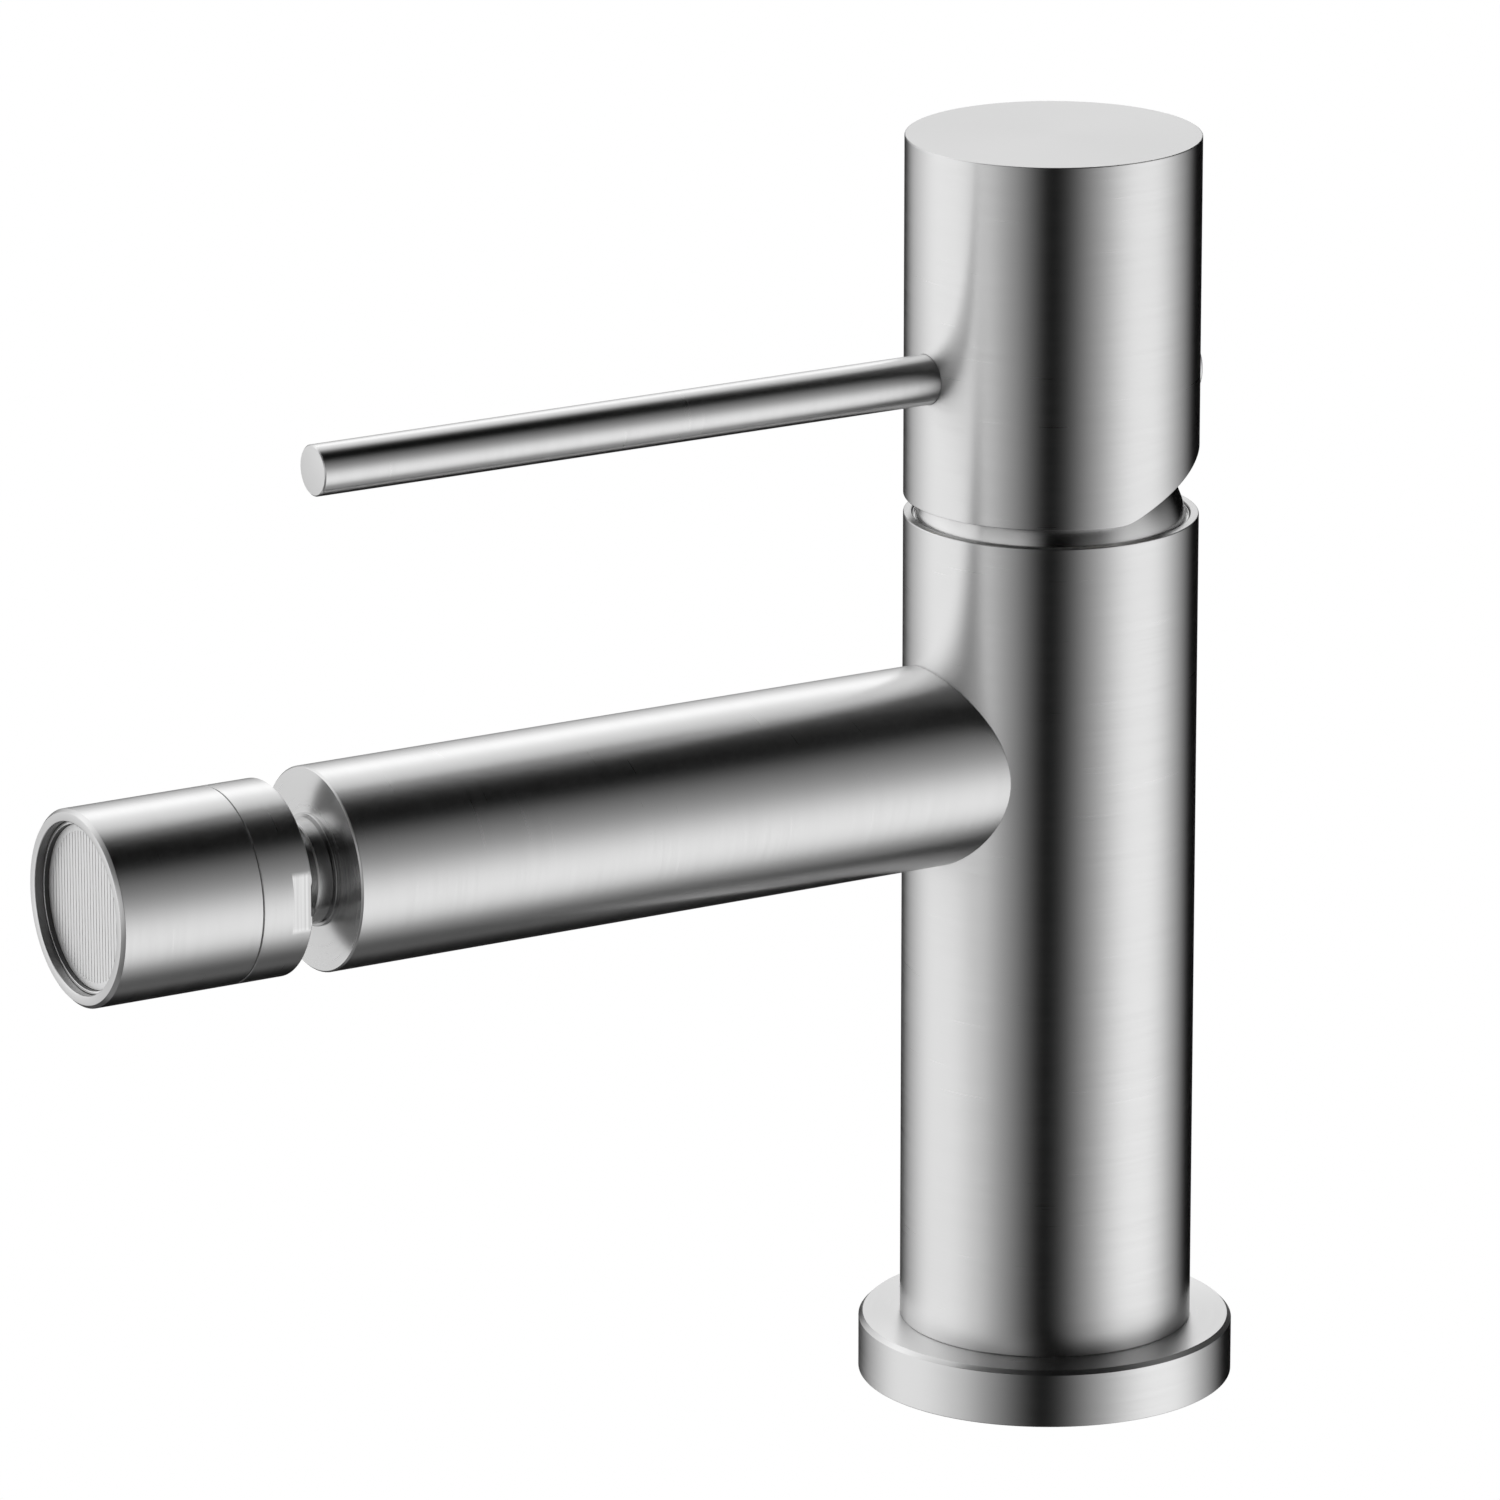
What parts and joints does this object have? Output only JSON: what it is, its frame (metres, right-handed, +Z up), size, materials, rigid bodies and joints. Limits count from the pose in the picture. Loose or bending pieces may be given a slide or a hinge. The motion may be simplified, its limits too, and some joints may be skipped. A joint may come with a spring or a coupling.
{
  "type": "bidet mixer",
  "caption": "Brushed steel deck mixer for a bidet: round column, straight spout, swivelling ball-joint nozzle, and a round handle cap with a thin lever rod that tilts and turns.",
  "frame": {"origin": "centre of the fixing-stud thread's mouth, on the column's axis, at the level of the deck", "axes": "+Z up along the column, -Y forwards along the spout and the lever, +X to the right of someone who looks along +Y"},
  "size_m": [0.045, 0.153, 0.1526],
  "materials": {
    "brushed_body": "fine brushing round each turned piece",
    "brushed_rod": "fine brushing round the rod",
    "nozzle_steel": "fine brushing round the nozzle, bright spanner flats",
    "bright_steel": "smooth turned, nearly polished",
    "plain_steel": "plain machined",
    "machined_brass": "plain machined",
    "ceramic": "lapped, hard and smooth",
    "white_plastic": "moulded",
    "grey_plastic": "moulded",
    "red_plastic": "moulded",
    "black_rubber": "moulded"
  },
  "bodies": {
    "root": {"body_column": "brushed_body", "base_flange": "brushed_body", "base_seal": "black_rubber", "spout_tube": "brushed_body", "cartridge_base": "white_plastic", "cartridge_port_seals": "black_rubber", "cartridge_housing": "grey_plastic", "disc_seal_sheet": "black_rubber", "fixed_ceramic_disc": "ceramic", "cartridge_nut": "machined_brass", "hot_limit_ring": "red_plastic", "bonnet_dome": "bright_steel", "bonnet_gasket": "black_rubber", "ball_stem": "bright_steel", "stem_washer": "bright_steel"},
    "guide": {"spindle_guide": "grey_plastic", "pivot_pin": "plain_steel"},
    "slider": {"moving_ceramic_disc": "ceramic", "disc_carrier": "white_plastic"},
    "handle": {"spindle": "machined_brass", "handle_core": "machined_brass", "handle_cap": "brushed_body", "lever_rod": "brushed_rod", "grub_screw": "plain_steel", "rear_plug": "brushed_body"},
    "liner": {"ball_liner": "white_plastic"},
    "nozzle": {"swivel_ring": "nozzle_steel", "ball_seal": "black_rubber", "nozzle_shell": "nozzle_steel", "nozzle_washer": "black_rubber", "aerator_insert": "white_plastic", "flow_straightener": "grey_plastic", "outlet_screen": "plain_steel"}
  },
  "joints": [
    {"name": "temperature_turn", "type": "hinge", "parent": "root", "child": "guide", "pos_m": [0, 0, 0.1031], "axis": [0, 0, 1], "range_deg": [-45, 45]},
    {"name": "handle_tilt", "type": "hinge", "parent": "guide", "child": "handle", "pos_m": [0, 0, 0.1031], "axis": [-1, 0, 0], "range_deg": [0, 22]},
    {"name": "disc_slide", "type": "slide", "parent": "guide", "child": "slider", "axis": [0, -1, 0], "range_m": [0, 0.0036]},
    {"name": "nozzle_pan", "type": "hinge", "parent": "root", "child": "liner", "pos_m": [0, -0.112, 0.0781], "axis": [0, 0, 1], "range_deg": [-15, 15]},
    {"name": "nozzle_tilt", "type": "hinge", "parent": "liner", "child": "nozzle", "pos_m": [0, -0.112, 0.0781], "axis": [1, 0, 0], "range_deg": [-15, 15]}
  ],
  "couplings": [
    {"joint": "disc_slide", "follows": "handle_tilt", "m_per_rad": 0.00915}
  ]
}
